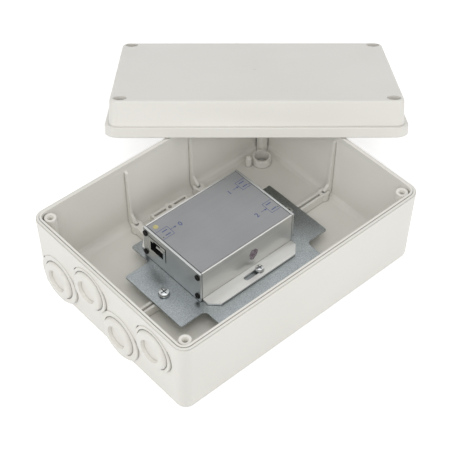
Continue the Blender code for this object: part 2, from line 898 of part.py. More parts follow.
def plug_mouth(depth, latch_depth):
    """Cutters of a plug's mouth: the main opening and, over it, the notch for the plug's latch."""
    half = socket_mouth_width / 2
    half_latch = socket_latch_width / 2
    top = socket_mouth_bottom + socket_mouth_height
    return [block((-half, -sink, socket_mouth_bottom), (half, depth, top)),
            block((-half_latch, -sink, top - sink), (half_latch, latch_depth, top + socket_latch_height))]


def contact_wire(x, low):
    """One contact wire, from its carrier at the floor of the mouth up to its free end."""
    end = contact_start + contact_length
    outline = [(contact_start, low), (end, low + contact_rise), (end, low + contact_rise + contact_width),
               (contact_start, low + contact_width)]
    turn = Matrix(((0, 0, 1, x - contact_width / 2), (1, 0, 0, 0), (0, 1, 0, 0), (0, 0, 0, 1)))
    return moved_by(prism(outline, contact_width), turn)


def make_socket(name, side, y, looks):
    """A shielded network socket: folded shield, moulded body with its mouth, and contact wires."""
    frame = socket_frame(side, y)
    half = socket_width / 2
    sheet = socket_sheet
    shield = make_object(f"{name}_shield", block((-half, 0.0, 0.0), (half, socket_depth, socket_height)),
                         looks[0])
    room = block((-half + sheet, sheet, -sink), (half - sheet, socket_depth - sheet, socket_height - sheet))
    combine(shield, [room, *plug_mouth(2 * sheet, 2 * sheet)], "DIFFERENCE")
    shield.matrix_world = frame

    fit = sheet + seat_gap
    body = make_object(f"{name}_body", block((-half + fit, fit, 0.0),
                                             (half - fit, socket_depth - fit, socket_height - fit)),
                       looks[1])
    combine(body, plug_mouth(socket_mouth_depth, socket_latch_depth), "DIFFERENCE")
    body.matrix_world = frame

    low = socket_mouth_bottom + seat_gap
    span = (contact_count - 1) * contact_pitch
    carrier_half = span / 2 + contact_width
    carrier = block((-carrier_half, contact_start, low),
                    (carrier_half, contact_start + contact_carrier_depth, low + contact_width))
    contacts = make_object(f"{name}_contacts", carrier, looks[2])
    wires = [contact_wire(index * contact_pitch - span / 2, low) for index in range(contact_count)]
    combine(contacts, wires, "UNION")
    contacts.matrix_world = frame


def make_board(look):
    """The circuit board, held in the slots of the case."""
    half_length = tube_length / 2 - board_end_gap
    return make_object("circuit_board", block(
        (case_x - half_length, case_y - board_half_width, board_bottom),
        (case_x + half_length, case_y + board_half_width, board_top)), look)


def chip(name, length, width, height, centre, look, chamfer):
    """A moulded component body on the board, with chamfered upper edges."""
    place = (case_x + centre[0], case_y + centre[1])
    lower = rectangle(length / 2, width / 2, place)
    upper = rectangle(length / 2 - chamfer, width / 2 - chamfer, place)
    rings = [[(x, y, part_bottom) for x, y in lower],
             [(x, y, part_bottom + height - chamfer) for x, y in lower],
             [(x, y, part_bottom + height) for x, y in upper]]
    return make_object(name, loft(rings), look)


def make_capacitor(name, y, look):
    """An upright capacitor with the crimp round its can."""
    waist = capacitor_radius - capacitor_crimp_depth
    base_top = capacitor_base_height
    profile = [(0.0, 0.0), (capacitor_radius, 0.0), (capacitor_radius, base_top),
               (waist, base_top + capacitor_crimp_depth),
               (capacitor_radius, base_top + 2 * capacitor_crimp_depth),
               (capacitor_radius, capacitor_height - capacitor_crimp_depth),
               (waist, capacitor_height), (0.0, capacitor_height)]
    made = make_object(name, turned(profile, screw_steps), look)
    made.location = (case_x + capacitor_x, case_y + y, part_bottom)


def make_components(looks):
    """What stands on the board between the sockets."""
    moulded, wound, can = looks
    for index in range(magnetics_count):
        place = (magnetics_x, (index - (magnetics_count - 1) / 2) * magnetics_pitch)
        chip(f"line_magnetics_{index + 1}", magnetics_length, magnetics_width, magnetics_height, place,
             moulded, component_chamfer)
    chip("power_inductor", inductor_side, inductor_side, inductor_height, (inductor_x, inductor_y), wound,
         inductor_chamfer)
    chip("controller_chip", controller_side, controller_side, controller_height, (controller_x, 0.0),
         moulded, component_chamfer)
    for index, side in enumerate((-1, 1)):
        place = (inductor_x + side * regulator_pitch / 2, regulator_y)
        chip(f"regulator_chip_{index + 1}", regulator_length, regulator_width, regulator_height, place,
             moulded, component_chamfer)
        make_capacitor(f"capacitor_{index + 1}", side * capacitor_y, can)


def make_label(look):
    """The printed film in the recess on top of the case."""
    half_length = tube_length / 2 - label_edge_gap
    half_width = case_half_width - case_lip - seat_gap
    low = case_top - case_recess + seat_gap
    outline = rounded_rectangle(half_length, half_width, label_corner_radius, fillet_steps)
    shape = prism(outline, label_thickness)
    moved_by(shape, Matrix.Translation((case_x, case_y, low)))
    return make_object("top_label", shape, look)


def lid_ring(inset, height):
    """One ring of the lid, a distance in from its skirt's outside."""
    radius = max(lid_radius - inset, least_corner_radius)
    ring = rounded_rectangle(lid_half_x - inset, lid_half_y - inset, radius)
    return [(x, y, height) for x, y in ring]


def make_lid(look, parent):
    """The lid: top, wall, skirt, channel for the gasket, inner lip, and a screw well in each corner."""
    top_inset = lid_flange_step + lid_wall_draft
    rings = []
    for step in range(fillet_steps + 1):
        angle = math.pi / 2 * step / fillet_steps
        rings.append((top_inset + lid_edge_radius * (1 - math.sin(angle)),
                      lid_height - lid_edge_radius * (1 - math.cos(angle))))
    channel_end = lid_channel_start + lid_channel_width
    lip_end = channel_end + lid_lip_width
    wall_inside = lid_flange_step + lid_wall
    ceiling = lid_height - lid_top_thickness
    rings += [
        (lid_flange_step, lid_flange_height),
        (lid_flange_radius, lid_flange_height),
        (0.0, lid_flange_height - lid_flange_radius),
        (0.0, lid_flange_radius),
        (lid_flange_radius, 0.0),
        (lid_skirt_thickness, 0.0),
        (lid_skirt_thickness, lid_skirt_depth),
        (channel_end, lid_skirt_depth),
        (channel_end, lid_lip_depth),
        (lip_end, lid_lip_depth),
        (lip_end, lid_lip_top),
        (wall_inside, lid_lip_top + lip_end - wall_inside),
        (wall_inside + lid_wall_draft, ceiling - lid_edge_radius),
        (wall_inside + lid_wall_draft + lid_edge_radius, ceiling),
    ]
    lid = make_object("enclosure_lid", loft([lid_ring(*ring) for ring in rings]), look)
    added = []
    cut = []
    for x, y in lid_screw_places():
        added.append(rod(lid_well_radius + lid_well_wall, lid_well_floor, ceiling + sink, (x, y),
                         screw_steps))
        cut.append(rod(lid_well_radius, lid_well_floor + lid_well_floor_thickness, lid_height + sink,
                       (x, y), screw_steps))
        cut.append(rod(lid_screw_hole_radius, lid_well_floor - sink, lid_height, (x, y), hole_steps))
    channel_low = lid_skirt_depth - sink
    channel_top = lid_skirt_depth + lid_channel_depth
    section = [(lid_channel_start, channel_low), (channel_end, channel_low),
               (channel_end, channel_top), (lid_channel_start, channel_top)]
    cut.append(loft([lid_ring(*ring) for ring in section], closed=True))
    combine(lid, added, "UNION")
    combine(lid, cut, "DIFFERENCE")
    lid.parent = parent
    return lid


def lid_screw_places():
    """Where the lid's screws stand, over the corner posts when the lid is on."""
    return [(side_x * post_x, side_y * post_y) for side_x in (-1, 1) for side_y in (-1, 1)]


def make_lid_screws(look, parent):
    """The captive screws of the lid: round head with a slot, shank through the well's floor."""
    seat = lid_well_floor + lid_well_floor_thickness + seat_gap
    top = seat + lid_screw_head_height
    point = lid_screw_shank_radius * screw_point_share
    profile = [(0.0, lid_screw_tip), (point, lid_screw_tip),
               (lid_screw_shank_radius, lid_screw_tip + lid_screw_shank_radius),
               (lid_screw_shank_radius, seat), (lid_screw_head_radius, seat),
               (lid_screw_head_radius, top - lid_screw_chamfer),
               (lid_screw_head_radius - lid_screw_chamfer, top), (0.0, top)]
    half_slot = lid_screw_slot_width / 2
    for index, (x, y) in enumerate(lid_screw_places()):
        screw = make_object(f"lid_screw_{index + 1}", turned(profile, screw_steps), look)
        slot = block((-lid_screw_head_radius - sink, -half_slot, top - lid_screw_slot_depth),
                     (lid_screw_head_radius + sink, half_slot, top + sink))
        combine(screw, [slot], "DIFFERENCE")
        screw.location = (x, y, 0.0)
        screw.parent = parent


def make_gasket(look, parent):
    """The sealing cord in the lid's channel."""
    outer = lid_channel_start + gasket_side_gap
    inner = lid_channel_start + lid_channel_width - gasket_side_gap
    top = lid_skirt_depth + lid_channel_depth - seat_gap
    low = top - gasket_height
    section = [(outer, low), (inner, low), (inner, top), (outer, top)]
    return make_object("lid_gasket", loft([lid_ring(*ring) for ring in section], closed=True), look,
                       parent)


def lid_lean():
    """Empty that carries the lid: rear edge on the ground, front skirt across two rims."""
    left = Vector((base_half_x - lid_cross_left, base_half_y, 0.0))
    right = Vector((base_half_x, base_half_y - lid_cross_right, 0.0))
    along = (right - left).normalized()
    back = Vector((-along.y, along.x, 0.0))
    rise = base_height + seat_gap
    tilt = math.asin(rise / (2 * lid_half_y - lid_skirt_thickness))
    start = left + along * ((right - left).length / 2 + lid_slide)
    front_height = rise + lid_skirt_thickness * math.sin(tilt)
    down = back * math.cos(tilt) - Vector((0.0, 0.0, math.sin(tilt)))
    normal = along.cross(down)
    middle = Vector((start.x, start.y, front_height)) - back * lid_skirt_thickness + down * lid_half_y
    middle.z = front_height - lid_half_y * math.sin(tilt)
    frame = Matrix.Identity(4)
    for row in range(3):
        frame[row][0] = along[row]
        frame[row][1] = down[row]
        frame[row][2] = normal[row]
        frame[row][3] = middle[row]
    empty = bpy.data.objects.new("lid_lean", None)
    bpy.context.scene.collection.objects.link(empty)
    empty.matrix_world = frame
    return empty


def main():
    """Build every piece."""
    clear_scene()
    plastic = make_material("enclosure_plastic", (0.80, 0.79, 0.75), 0.45)
    rubber = make_material("gasket_foam", (0.09, 0.09, 0.09), 0.9)
    zinc = make_material("galvanised_steel", (0.52, 0.56, 0.60), 0.38, 1.0)
    aluminium = make_material("extruded_aluminium", (0.78, 0.78, 0.76), 0.42, 1.0)
    end_sheet = make_material("end_plate_sheet", (0.60, 0.63, 0.65), 0.40, 1.0)
    bright = make_material("bright_zinc_screw", (0.80, 0.82, 0.82), 0.18, 1.0)
    black_steel = make_material("black_screw", (0.02, 0.02, 0.02), 0.35, 0.6)
    shield = make_material("socket_shield", (0.82, 0.81, 0.78), 0.22, 1.0)
    black_plastic = make_material("black_plastic", (0.02, 0.02, 0.02), 0.4)
    gold = make_material("gold_contact", (0.90, 0.70, 0.30), 0.25, 1.0)
    film = make_material("label_film", (0.50, 0.51, 0.55), 0.35)
    board = make_material("board_laminate", (0.05, 0.22, 0.10), 0.5)
    ferrite = make_material("ferrite", (0.08, 0.08, 0.09), 0.6)
    can = make_material("capacitor_can", (0.70, 0.71, 0.73), 0.3, 1.0)

    make_base(plastic)
    make_plate(zinc)
    for name, side in (("plate_screw_left", -1), ("plate_screw_right", 1)):
        frame = Matrix.Translation((side * plate_screw_x, 0.0, plate_top + seat_gap))
        make_screw(name, bright, (plate_screw_head_radius, plate_screw_head_height,
                                  plate_screw_shank_radius, plate_screw_length), frame)

    make_case(aluminium)
    flange_seat = case_bottom + flange_thickness + seat_gap
    for name, place in zip(("flange_screw_front", "flange_screw_rear"), flange_screw_places()):
        frame = Matrix.Translation((place[0], place[1], flange_seat))
        make_screw(name, bright, (flange_screw_head_radius, flange_screw_head_height,
                                  flange_screw_shank_radius, flange_screw_length), frame)
    for end, side in (("input", -1), ("output", 1)):
        make_end_plate(f"end_plate_{end}", side, end_sheet)
        outside = case_x + side * (case_length / 2 + seat_gap)
        for index, (y, z) in enumerate(screw_ports()):
            frame = (Matrix.Translation((outside, case_y + y, case_bottom + z))
                     @ Matrix.Rotation(side * math.pi / 2, 4, "Y"))
            make_screw(f"end_screw_{end}_{index + 1}", black_steel,
                       (end_screw_head_radius, end_screw_head_height, end_screw_shank_radius,
                        end_screw_length), frame, small_screw_steps)
    looks = (shield, black_plastic, gold)
    make_socket("input_socket", -1, input_socket_y, looks)
    make_socket("output_socket_1", 1, -output_socket_y, looks)
    make_socket("output_socket_2", 1, output_socket_y, looks)
    make_board(board)
    make_components((black_plastic, ferrite, can))
    make_label(film)

    lean = lid_lean()
    make_lid(plastic, lean)
    make_lid_screws(plastic, lean)
    make_gasket(rubber, lean)


main()
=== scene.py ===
"""Looks of the open junction box with a network power extender on its mounting plate.

Each solid of the frame is shown by a welded copy with small rounded edges. Thin pieces add the
print, the ink mark, the mould's gate mark and what stands in the sockets' mouths.
"""

import math

import bmesh
import bpy
from mathutils import Matrix, Vector


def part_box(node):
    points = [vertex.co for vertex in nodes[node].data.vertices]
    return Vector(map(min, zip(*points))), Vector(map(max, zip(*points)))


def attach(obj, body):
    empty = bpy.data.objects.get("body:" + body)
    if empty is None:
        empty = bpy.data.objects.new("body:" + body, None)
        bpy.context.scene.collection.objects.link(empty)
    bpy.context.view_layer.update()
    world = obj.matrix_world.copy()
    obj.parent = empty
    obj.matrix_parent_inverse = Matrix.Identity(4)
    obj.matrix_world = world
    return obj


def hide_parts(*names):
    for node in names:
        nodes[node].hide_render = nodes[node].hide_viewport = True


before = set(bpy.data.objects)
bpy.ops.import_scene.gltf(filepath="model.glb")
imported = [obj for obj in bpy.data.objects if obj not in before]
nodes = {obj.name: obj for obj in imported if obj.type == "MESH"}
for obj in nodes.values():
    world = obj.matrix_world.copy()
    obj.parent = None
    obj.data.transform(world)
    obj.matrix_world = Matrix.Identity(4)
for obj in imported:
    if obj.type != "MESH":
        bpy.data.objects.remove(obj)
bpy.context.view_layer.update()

# Millimetres in a metre, and the thickness of print in metres
MM = 1000.0
SPECK = 0.00002

SOCKETS = ("input_socket", "output_socket_1", "output_socket_2")
END_SCREWS = tuple(f"end_screw_{end}_{index}"
                   for end in ("input", "output") for index in range(1, 5))
LID_SCREWS = tuple(f"lid_screw_{index}" for index in range(1, 5))

# Sockets of the Mix node for colours
MIX_FACTOR, MIX_FIRST, MIX_SECOND, MIX_RESULT = 0, 6, 7, 2

# Camera, fitted to the photograph: angles in degrees, place in metres
AZIMUTH = -41.73
ELEVATION = 46.33
ROLL = 0.2
CAMERA_PLACE = (-0.36679, -0.40962, 0.61084)
FOCAL_PX = 1304.8
PICTURE_PX = 452.0
SENSOR_MM = 36.0

# Finish of the nodes: lengths in metres, angles in degrees
WELD_LENGTH = 0.000002
FLAT_ANGLE = 0.4
SMOOTH_ANGLE = 32.0
ROUNDING_ANGLE = 35.0
ROUNDING_STEPS = 2
MOULDED_EDGE = 0.00018
SHEET_EDGE = 0.00025
CASE_EDGE = 0.0002

# Print on the label, in millimetres
LINE_WIDTH = 0.3
DASH_WIDTH = 0.7
DASH_FROM, DASH_TO, DASH_INSET = 1.5, 5.5, 2.0
HEAD_LENGTH = 1.7
HEAD_SLOPE = 0.45
# Near and far end of a socket's frame, its low and high side, and the way to the case's end
SOCKET_FRAMES = ((-28.2, -36.9, 16.7, 24.2, -1), (27.8, 35.0, 16.9, 24.5, 1),
                 (27.8, 35.0, -9.8, -0.6, 1))
ARROWS = (((-28.2, 20.8), (-23.4, 20.8)), ((23.0, 20.9), (27.8, 20.9)),
          ((23.0, -5.1), (27.8, -5.1)))
DOT_PLACE, DOT_RADIUS = (-33.7, 28.3), 1.7
SPECK_PLACES = ((34.2, 18.3), (34.2, -8.2), (-35.6, 18.2))
SPECK_RADIUS, SPECK_STEPS = 0.4, 12
NUMBERS = (("number_in", "0", (-21.8, 19.0)), ("number_out_1", "1", (18.6, 19.1)),
           ("number_out_2", "2", (18.2, -6.9)))
NUMBER_SIZE, NUMBER_WEIGHT = 4.8, 0.06

# Ink mark on the case and gate mark on the lid, in millimetres
STAMP_PLACE, STAMP_HALF_SIZES = (3.6, 23.0), (3.4, 4.3)
STAMP_STEPS, STAMP_WOBBLE = 48, 0.07
GATE_RADIUS, GATE_HOLE_RADIUS = 1.1, 0.5

# Comb and lip in a socket's mouth, in millimetres
COMB_DEPTH, COMB_HALF_WIDTH = 12.8, 4.2
TOOTH_COUNT, TOOTH_PITCH, FIRST_TOOTH = 8, 1.02, 3.57
TOOTH_CORNERS = ((2.2, 0.3), (1.0, 0.3), (1.0, -0.3), (2.2, -0.3))
LIP_CORNERS = ((0.75, -4.9), (0.5, -4.7), (0.5, 2.1), (0.75, 2.3), (1.2, 2.3), (1.2, -4.9))
COMB_HEIGHT, COMB_THICKNESS, LIP_THICKNESS = 5.0, 0.5, 0.7

# Stage: name, place, size in metres and power in watts of each lamp
LAMPS = (("left_lamp", (-0.50, 0.16, 0.32), 0.30, 0.58),
         ("right_lamp", (0.30, -0.50, 0.32), 0.30, 0.66),
         ("front_lamp", (-0.48, -0.50, 0.56), 0.40, 1.40),
         ("top_lamp", (0.0, 0.0, 1.2), 0.80, 1.30))
LAMP_TARGET = (0.0, 0.0, 0.03)
FLOOR_SIZE = 6.0
FLOOR_LEVEL = -0.0004
FLOOR_GREY = 0.80
FLOOR_GLOW = 0.62
WORLD_ON_OBJECT = 0.60
WORLD_AS_BACKGROUND = 1.0


# Camera: the photograph's viewing angle

def make_camera():
    """Camera at the photograph's place, for a square picture."""
    azimuth = math.radians(AZIMUTH)
    elevation = math.radians(ELEVATION)
    back = Vector((math.sin(azimuth) * math.cos(elevation),
                   -math.cos(azimuth) * math.cos(elevation), math.sin(elevation)))
    right = Vector((math.cos(azimuth), math.sin(azimuth), 0.0))
    up = back.cross(right)
    data = bpy.data.cameras.new("camera")
    data.sensor_width = SENSOR_MM
    data.lens = FOCAL_PX * SENSOR_MM / PICTURE_PX
    data.clip_start = 0.05
    data.clip_end = 20.0
    camera = bpy.data.objects.new("camera", data)
    bpy.context.scene.collection.objects.link(camera)
    turn = Matrix((right, up, back)).transposed().to_4x4()
    roll = Matrix.Rotation(math.radians(ROLL), 4, "Z")
    camera.matrix_world = Matrix.Translation(CAMERA_PLACE) @ turn @ roll
    bpy.context.scene.camera = camera


# Node materials

class Look:
    """A material under construction, with short calls for the nodes it needs."""

    def __init__(self, name, metallic=0.0, specular=0.5):
        self.material = bpy.data.materials.new(name)
        self.material.use_nodes = True
        self.tree = self.material.node_tree
        self.shader = self.tree.nodes["Principled BSDF"]
        self.shader.inputs["Metallic"].default_value = metallic
        self.shader.inputs["Specular IOR Level"].default_value = specular
        self.place = self.tree.nodes.new("ShaderNodeTexCoord").outputs["Object"]

    def feed(self, value, socket):
        """Link an output to a socket, or set the socket to a number or colour."""
        if isinstance(value, bpy.types.NodeSocket):
            self.tree.links.new(value, socket)
        else:
            socket.default_value = value

    def node(self, kind, **values):
        """A node with its inputs or settings given by name."""
        made = self.tree.nodes.new(kind)
        for key, value in values.items():
            if key in made.inputs:
                self.feed(value, made.inputs[key])
            else:
                setattr(made, key, value)
        return made

    def stretched(self, scale):
        """Object coordinates scaled per axis."""
        return self.node("ShaderNodeMapping", Vector=self.place, Scale=scale).outputs["Vector"]

    def noise(self, scale, detail, rough=0.5, vector=None):
        """Noise value in object coordinates or along a given vector."""
        made = self.node("ShaderNodeTexNoise", Vector=vector or self.place, Scale=scale,
                         Detail=detail, Roughness=rough)
        return made.outputs["Fac"]

    def ramp(self, value, low, high, start=0.3, end=0.7):
        """Colour that runs from low at start to high at end."""
        made = self.node("ShaderNodeValToRGB", Fac=value)
        stops = zip(made.color_ramp.elements, (start, end), (low, high))
        for element, position, colour in stops:
            element.position = position
            element.color = (*colour, 1.0)
        return made.outputs["Color"]

    def grey(self, value, low, high, start=0.0, end=1.0):
        """Map a value from start..end to low..high."""
        made = self.node("ShaderNodeMapRange", Value=value)
        made.inputs["From Min"].default_value = start
        made.inputs["From Max"].default_value = end
        made.inputs["To Min"].default_value = low
        made.inputs["To Max"].default_value = high
        return made.outputs["Result"]

    def mix(self, amount, first, second, mode="MIX"):
        """Mix two colours; a plain colour is given as three numbers."""
        made = self.node("ShaderNodeMix", data_type="RGBA", blend_type=mode)
        inputs = ((MIX_FACTOR, amount), (MIX_FIRST, first), (MIX_SECOND, second))
        for index, value in inputs:
            colour = (*value, 1.0) if isinstance(value, tuple) else value
            self.feed(colour, made.inputs[index])
        return made.outputs[MIX_RESULT]

    def painted_shade(self, reach, dark, start=0.35, end=0.85):
        """Painted shade: a factor from ambient occlusion that falls to dark inside narrow gaps,
        grooves and corners.
        """
        made = self.node("ShaderNodeAmbientOcclusion", samples=8, Distance=reach)
        return self.grey(made.outputs["AO"], dark, 1.0, start, end)

    def shaded(self, tone, painted_shade):
        """Base colour from a tone, darkened by a factor of painted shade."""
        self.colour(self.mix(1.0, tone, painted_shade, "MULTIPLY"))

    def colour(self, value):
        self.feed(value, self.shader.inputs["Base Color"])

    def rough(self, value):
        self.feed(value, self.shader.inputs["Roughness"])

    def bump(self, height, strength, distance):
        """Surface relief."""
        made = self.node("ShaderNodeBump", Strength=strength, Distance=distance, Height=height)
        self.feed(made.outputs["Normal"], self.shader.inputs["Normal"])


def moulded_plastic():
    """Light warm grey moulded plastic with a fine satin grain."""
    look = Look("enclosure_plastic", specular=0.4)
    tone = look.ramp(look.noise(14.0, 2.0), (0.774, 0.758, 0.706), (0.800, 0.784, 0.736))
    fine = look.grey(look.noise(900.0, 2.0), 0.0, 0.05)
    tone = look.mix(fine, tone, (0.60, 0.59, 0.54))
    # Painted shade: the colour falls to 0.52 of its tone in grooves, gaps and corners
    look.shaded(tone, look.painted_shade(0.0013, 0.52))
    look.rough(look.grey(look.noise(60.0, 3.0), 0.30, 0.42))
    look.bump(look.noise(2600.0, 2.0), strength=0.10, distance=0.00006)
    return look.material


def zinc_plate():
    """Galvanised sheet: cool grey with soft spangle and a fine dark grain."""
    look = Look("galvanised_steel", metallic=1.0)
    cells = look.node("ShaderNodeTexVoronoi", Vector=look.place, Scale=420.0)
    split = look.node("ShaderNodeSeparateColor", Color=cells.outputs["Color"])
    clouds = look.noise(38.0, 4.0, 0.6)
    tone = look.ramp(clouds, (0.358, 0.390, 0.402), (0.422, 0.458, 0.472), 0.30, 0.65)
    spangle = look.grey(split.outputs[0], 0.0, 0.20)
    tone = look.mix(spangle, tone, (0.60, 0.64, 0.66))
    grain = look.grey(look.noise(1300.0, 1.0, 0.6), 0.0, 0.90, 0.36, 0.68)
    look.colour(look.mix(grain, tone, (0.270, 0.290, 0.300)))
    look.rough(look.grey(split.outputs[1], 0.28, 0.34))
    look.bump(look.noise(1500.0, 3.0), strength=0.08, distance=0.00005)
    return look.material


def drawn_aluminium():
    """Extruded aluminium with drawing lines along X."""
    look = Look("extruded_aluminium", metallic=1.0)
    lines = look.noise(1.0, 4.0, 0.6, look.stretched((14.0, 2600.0, 2600.0)))
    broad = look.noise(1.0, 2.0, 0.5, look.stretched((20.0, 160.0, 160.0)))
    tone = look.ramp(broad, (0.70, 0.70, 0.682), (0.78, 0.78, 0.762))
    tone = look.mix(look.grey(lines, 0.0, 0.20, 0.3, 0.7), tone, (0.58, 0.58, 0.565))
    # Painted shade: the colour falls to 0.45 of its tone in gaps and corners
    look.shaded(tone, look.painted_shade(0.0010, 0.45))
    look.rough(look.grey(lines, 0.34, 0.46, 0.3, 0.7))
    look.bump(lines, strength=0.10, distance=0.00004)
    return look.material


def end_sheet():
    """Zinc-grey sheet of the end plates."""
    look = Look("end_plate_sheet", metallic=1.0)
    tone = look.ramp(look.noise(70.0, 3.0), (0.535, 0.550, 0.548), (0.595, 0.610, 0.608))
    # Painted shade: the colour falls to 0.45 of its tone in gaps and corners
    look.shaded(tone, look.painted_shade(0.0010, 0.45))
    look.rough(look.grey(look.noise(500.0, 2.0), 0.30, 0.44))
    look.bump(look.noise(1800.0, 2.0), strength=0.10, distance=0.00005)
    return look.material


def plated(name, low, high, roughness):
    """Plated screw, shield, contact or can with faint tone changes and painted shade in gaps and
    corners.
    """
    look = Look(name, metallic=1.0)
    tone = look.ramp(look.noise(400.0, 2.0), low, high)
    # Painted shade: the colour falls to 0.1 of its tone in gaps and corners
    look.shaded(tone, look.painted_shade(0.0009, 0.10, 0.45, 0.95))
    look.rough(look.grey(look.noise(900.0, 2.0), roughness * 0.8, roughness * 1.3))
    return look.material


def dark_moulding(name, low, high, roughness):
    """Dark moulded or oxidised surface with a fine grain."""
    look = Look(name, specular=0.12)
    look.colour(look.ramp(look.noise(300.0, 3.0), low, high))
    look.rough(look.grey(look.noise(700.0, 2.0), roughness * 0.85, roughness * 1.2))
    look.bump(look.noise(1800.0, 2.0), strength=0.15, distance=0.00005)
    return look.material


def film():
    """Grey printed film with a faint brushed sheen under it."""
    look = Look("label_film", metallic=0.35)
    lines = look.noise(1.0, 3.0, 0.6, look.stretched((30.0, 1800.0, 1800.0)))
    tone = look.ramp(look.noise(30.0, 2.0), (0.285, 0.290, 0.298), (0.320, 0.325, 0.333))
    look.colour(look.mix(look.grey(lines, 0.0, 0.18, 0.3, 0.7), tone, (0.24, 0.24, 0.25)))
    look.rough(look.grey(lines, 0.28, 0.42, 0.3, 0.7))
    return look.material


def foam():
    """Closed-cell foam of the gasket."""
    look = Look("gasket_foam", specular=0.2)
    look.colour(look.ramp(look.noise(1500.0, 2.0), (0.05, 0.05, 0.05), (0.10, 0.10, 0.10)))
    look.rough(0.9)
    look.bump(look.noise(2500.0, 2.0), strength=0.4, distance=0.0001)
    return look.material


def laminate():
    """Green board with faint copper lands under the mask."""
    look = Look("board_laminate")
    grid = look.node("ShaderNodeTexBrick", Vector=look.place, Scale=160.0,
                     Color1=(0.03, 0.16, 0.07, 1.0), Color2=(0.04, 0.20, 0.09, 1.0),
                     Mortar=(0.05, 0.26, 0.12, 1.0))
    look.colour(grid.outputs["Color"])
    look.rough(0.4)
    return look.material


def ink(name, colour):
    """Print on the film."""
    look = Look(name)
    darker = tuple(value * 0.8 for value in colour)
    look.colour(look.ramp(look.noise(1200.0, 2.0), darker, colour, start=0.35))
    look.rough(0.5)
    return look.material


def stamp_ink():
    """Thin violet ink that lets the metal shine through."""
    look = Look("stamp_ink", metallic=0.35)
    patches = look.noise(650.0, 3.0, 0.6)
    look.colour(look.ramp(patches, (0.13, 0.085, 0.12), (0.42, 0.37, 0.40), 0.40, 0.68))
    look.rough(look.grey(look.noise(900.0, 2.0), 0.3, 0.5))
    return look.material


def lip_painted_glint():
    """Glossy pale plastic in front of the sockets' contacts, whose pale colour is a painted
    highlight for the contacts' glint.
    """
    look = Look("socket_lip_painted_glint", specular=0.6)
    look.colour(look.ramp(look.noise(500.0, 2.0), (0.66, 0.66, 0.64), (0.80, 0.80, 0.78)))
    look.rough(look.grey(look.noise(800.0, 2.0), 0.22, 0.38))
    return look.material


# Dressing the nodes

def clean_copy(name, edge):
    """A welded copy of a node with smooth round faces and edges rounded by edge, in its place."""
    shape = bmesh.new()
    shape.from_mesh(nodes[name].data)
    bmesh.ops.remove_doubles(shape, verts=shape.verts[:], dist=WELD_LENGTH)
    bmesh.ops.dissolve_limit(shape, angle_limit=math.radians(FLAT_ANGLE), verts=shape.verts[:],
                             edges=shape.edges[:], use_dissolve_boundaries=False,
                             delimit={"NORMAL"})
    mesh = bpy.data.meshes.new(name + "_finish")
    shape.to_mesh(mesh)
    shape.free()
    mesh.shade_smooth()
    mesh.set_sharp_from_angle(angle=math.radians(SMOOTH_ANGLE))
    made = bpy.data.objects.new(name + "_finish", mesh)
    bpy.context.scene.collection.objects.link(made)
    if edge:
        rounding = made.modifiers.new("edges", "BEVEL")
        rounding.width = edge
        rounding.segments = ROUNDING_STEPS
        rounding.limit_method = "ANGLE"
        rounding.angle_limit = math.radians(ROUNDING_ANGLE)
        rounding.harden_normals = True
    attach(made, "root")
    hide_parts(name)
    return made


def dress_nodes():
    """Give every node its finish; hands back the plastic's and the dark moulding's."""
    plastic = moulded_plastic()
    zinc = zinc_plate()
    aluminium = drawn_aluminium()
    sheet = end_sheet()
    bright = plated("bright_screw", (0.50, 0.52, 0.53), (0.66, 0.68, 0.68), 0.14)
    shield = plated("socket_shield", (0.50, 0.52, 0.51), (0.60, 0.62, 0.61), 0.24)
    gold = plated("gold_contact", (0.60, 0.48, 0.26), (0.74, 0.60, 0.36), 0.25)
    can = plated("capacitor_can", (0.60, 0.61, 0.63), (0.70, 0.71, 0.73), 0.30)
    oxide = dark_moulding("black_screw", (0.008, 0.008, 0.008), (0.018, 0.017, 0.016), 0.32)
    moulding = dark_moulding("black_plastic", (0.008, 0.008, 0.009), (0.018, 0.018, 0.020), 0.45)
    ferrite = dark_moulding("ferrite", (0.05, 0.05, 0.06), (0.08, 0.08, 0.09), 0.6)
    plan = [
        (("enclosure_base", "enclosure_lid"), plastic, "enclosure_plastic", MOULDED_EDGE),
        (LID_SCREWS, plastic, "enclosure_plastic", 0.0),
        (("lid_gasket",), foam(), "gasket_foam", 0.0),
        (("mounting_plate",), zinc, "galvanised_steel", SHEET_EDGE),
        (("plate_screw_left", "plate_screw_right", "flange_screw_front", "flange_screw_rear"),
         bright, "bright_screw", 0.0),
        (("case_profile",), aluminium, "extruded_aluminium", CASE_EDGE),
        (("end_plate_input", "end_plate_output"), sheet, "end_plate_sheet", CASE_EDGE),
        (END_SCREWS, oxide, "black_screw", 0.0),
        (tuple(name + "_shield" for name in SOCKETS), shield, "socket_shield", 0.0),
        (tuple(name + "_body" for name in SOCKETS), moulding, "black_plastic", 0.0),
        (tuple(name + "_contacts" for name in SOCKETS), gold, "gold_contact", 0.0),
        (("top_label",), film(), "label_film", 0.0),
        (("circuit_board",), laminate(), "board_laminate", 0.0),
        (("line_magnetics_1", "line_magnetics_2", "line_magnetics_3", "controller_chip",
          "regulator_chip_1", "regulator_chip_2"), moulding, "black_plastic", 0.0),
        (("power_inductor",), ferrite, "ferrite", 0.0),
        (("capacitor_1", "capacitor_2"), can, "capacitor_can", 0.0),
    ]
    for names, look, slot, edge in plan:
        for name in names:
            piece = clean_copy(name, edge)
            piece.data.materials.append(look)
    return plastic, moulding


# Thin pieces

